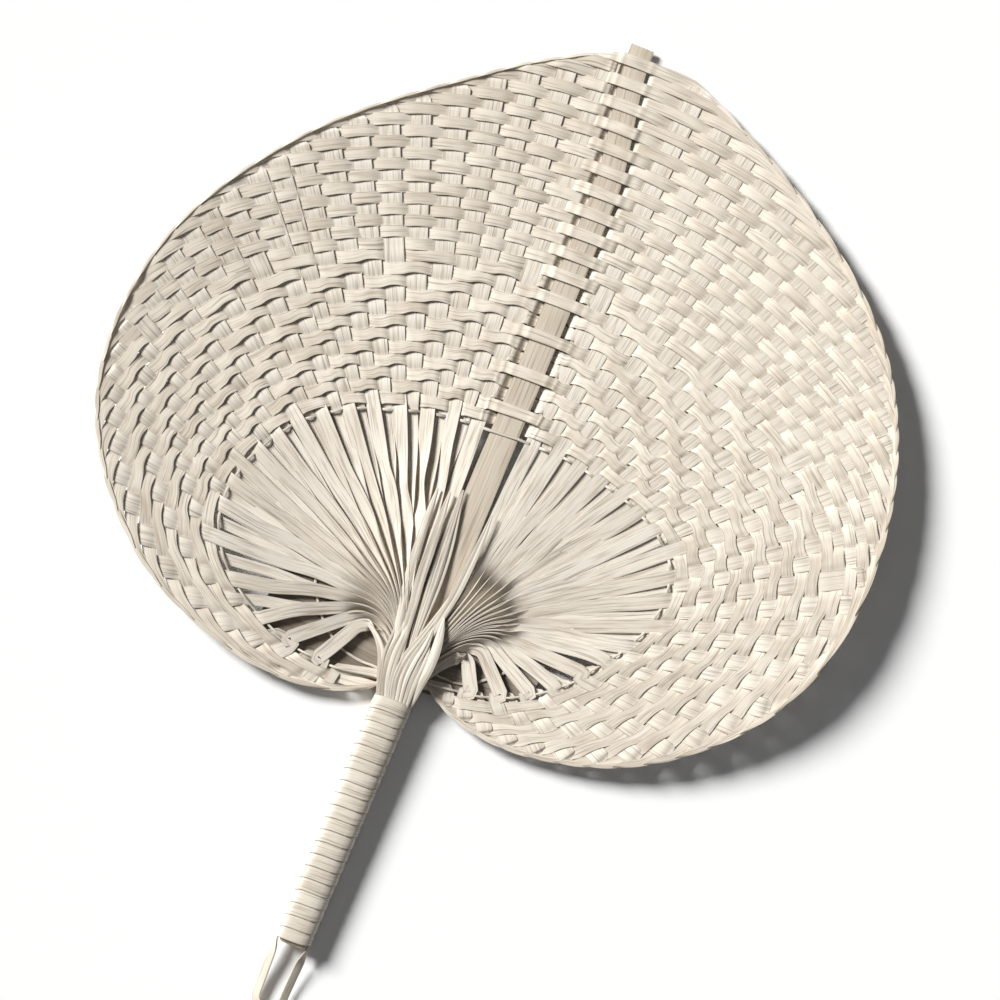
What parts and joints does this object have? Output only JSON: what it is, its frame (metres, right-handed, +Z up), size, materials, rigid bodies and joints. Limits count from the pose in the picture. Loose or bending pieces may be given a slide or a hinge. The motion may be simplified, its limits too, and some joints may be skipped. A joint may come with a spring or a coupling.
{
  "type": "woven hand fan",
  "caption": "Heart-shaped hand fan of radiating split strips woven with curved weft rows round a flat central rib, with a strip-wrapped handle and a hanging loop.",
  "frame": {"origin": "middle of the bounding box's footprint, at the height of the handle's underside, on which the fan lies", "axes": "+Y along the rib from the handle to the blade's tip, +X to the right seen from above with the tip away from the viewer, +Z up out of the blade's upper, hollow side"},
  "size_m": [0.3138, 0.4104, 0.0168],
  "materials": {
    "stakes": "split bamboo, smooth with fine lengthwise fibres, satin",
    "weft": "split bamboo strip, satin, fine fibres",
    "lacing": "thin bamboo sliver, satin",
    "rib": "planed bamboo slat, satin",
    "core": "bamboo stick, matt",
    "wrap": "glossy outer skin of bamboo, pale",
    "loop": "bamboo strip, satin"
  },
  "bodies": {
    "root": {"stakes_left_01": "stakes", "stakes_left_02": "stakes", "stakes_left_03": "stakes", "stakes_left_04": "stakes", "stakes_left_05": "stakes", "stakes_left_06": "stakes", "stakes_left_07": "stakes", "stakes_left_08": "stakes", "stakes_left_09": "stakes", "stakes_right_01": "stakes", "stakes_right_02": "stakes", "stakes_right_03": "stakes", "stakes_right_04": "stakes", "stakes_right_05": "stakes", "stakes_right_06": "stakes", "stakes_right_07": "stakes", "stakes_right_08": "stakes", "stakes_right_09": "stakes", "weft_row_01": "weft", "weft_row_02": "weft", "weft_row_03": "weft", "weft_row_04": "weft", "weft_row_05": "weft", "weft_row_06": "weft", "weft_row_07": "weft", "weft_row_08": "weft", "weft_row_09": "weft", "weft_row_10": "weft", "weft_row_11": "weft", "weft_row_12": "weft", "weft_row_13": "weft", "weft_row_14": "weft", "weft_row_15": "weft", "weft_row_16": "weft", "weft_row_17": "weft", "weft_row_18": "weft", "weft_row_19": "weft", "weft_row_20": "weft", "weft_row_21": "weft", "weft_row_22": "weft", "weft_row_23": "weft", "weft_row_24": "weft", "weft_row_25": "weft", "weft_row_26": "weft", "weft_row_27": "weft", "weft_row_28": "weft", "weft_row_29": "weft", "weft_row_30": "weft", "weft_row_31": "weft", "weft_row_32": "weft", "weft_row_33": "weft", "lacing_outer": "lacing", "lacing_inner": "lacing", "central_rib": "rib", "handle_core": "core", "handle_wrap": "wrap", "hanging_loop": "loop"}
  },
  "joints": []
}
